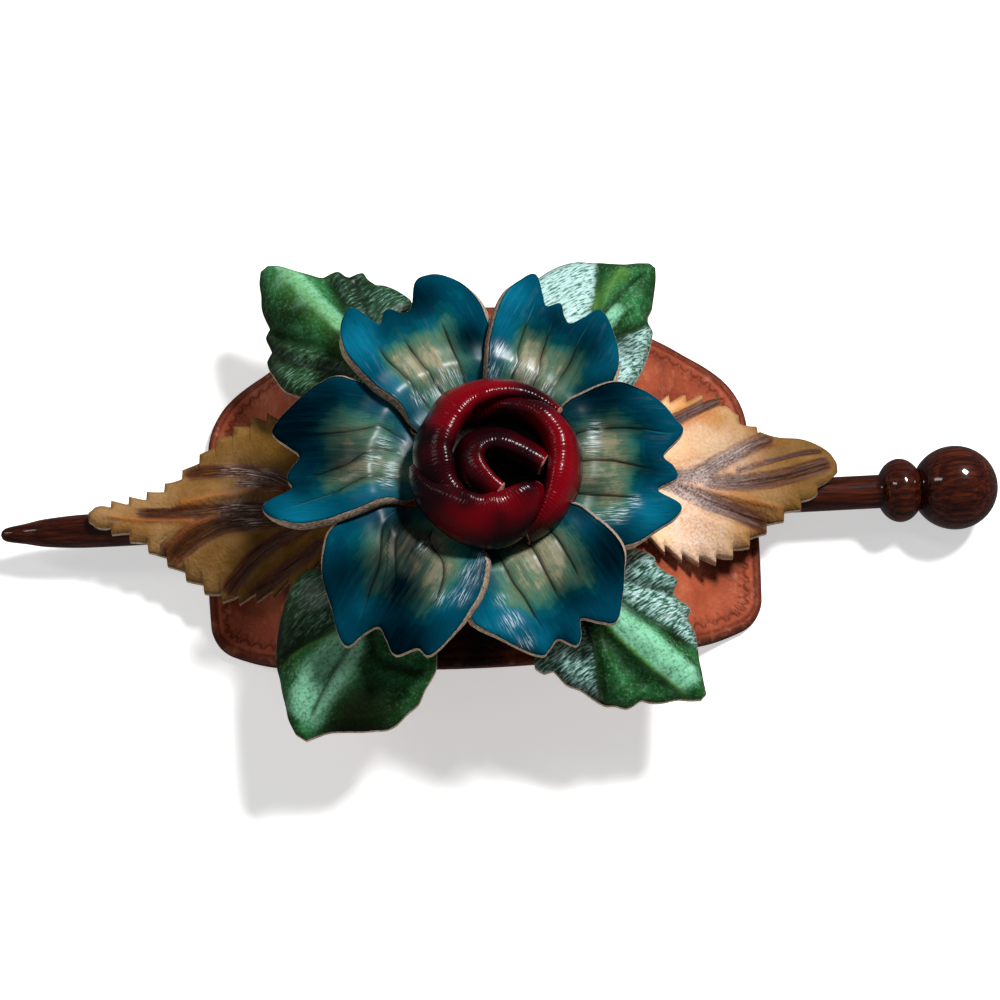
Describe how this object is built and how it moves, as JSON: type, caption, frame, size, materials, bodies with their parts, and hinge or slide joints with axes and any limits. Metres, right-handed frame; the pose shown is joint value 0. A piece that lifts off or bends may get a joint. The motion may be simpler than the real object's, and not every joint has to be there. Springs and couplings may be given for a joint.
{
  "type": "hair barrette with stick",
  "caption": "Domed leather hair barrette with a layered leather flower and leaves, held by a turned wooden stick that slides through holes in the plate.",
  "frame": {"origin": "on the surface the barrette lies on, under the middle of its length and of its width", "axes": "+X along the stick towards its knob, +Y towards the upper edge of the plate, +Z out of the face with the flower"},
  "size_m": [0.166, 0.081, 0.0383],
  "materials": {
    "plate_leather": "reddish brown tooled leather, lacquered, with a stamped border",
    "stick_wood": "dark red-brown turned wood, polished",
    "yellow_leather": "ochre dyed leather with brown stained carved veins, lacquered",
    "green_leather": "green dyed leather shaded dark at the edges, lacquered",
    "petal_leather": "blue dyed leather fading to khaki at the middle, tan raw edges, lacquered",
    "rose_leather": "crimson dyed rolled leather, nearly black in its folds, glossy lacquer"
  },
  "bodies": {
    "barrette": {"back_plate": "plate_leather", "leaf_yellow_left": "yellow_leather", "leaf_yellow_right": "yellow_leather", "leaf_green_upper_left": "green_leather", "leaf_green_upper_right": "green_leather", "leaf_green_lower_left": "green_leather", "leaf_green_lower_right": "green_leather", "petal_right": "petal_leather", "petal_upper_right": "petal_leather", "petal_upper_left": "petal_leather", "petal_left": "petal_leather", "petal_lower_left": "petal_leather", "petal_lower_right": "petal_leather", "rose": "rose_leather"},
    "stick": {"stick": "stick_wood"}
  },
  "joints": [
    {"name": "stick_slide", "type": "slide", "parent": "barrette", "child": "stick", "axis": [1, 0, 0], "range_m": [-0.006, 0.15]}
  ]
}
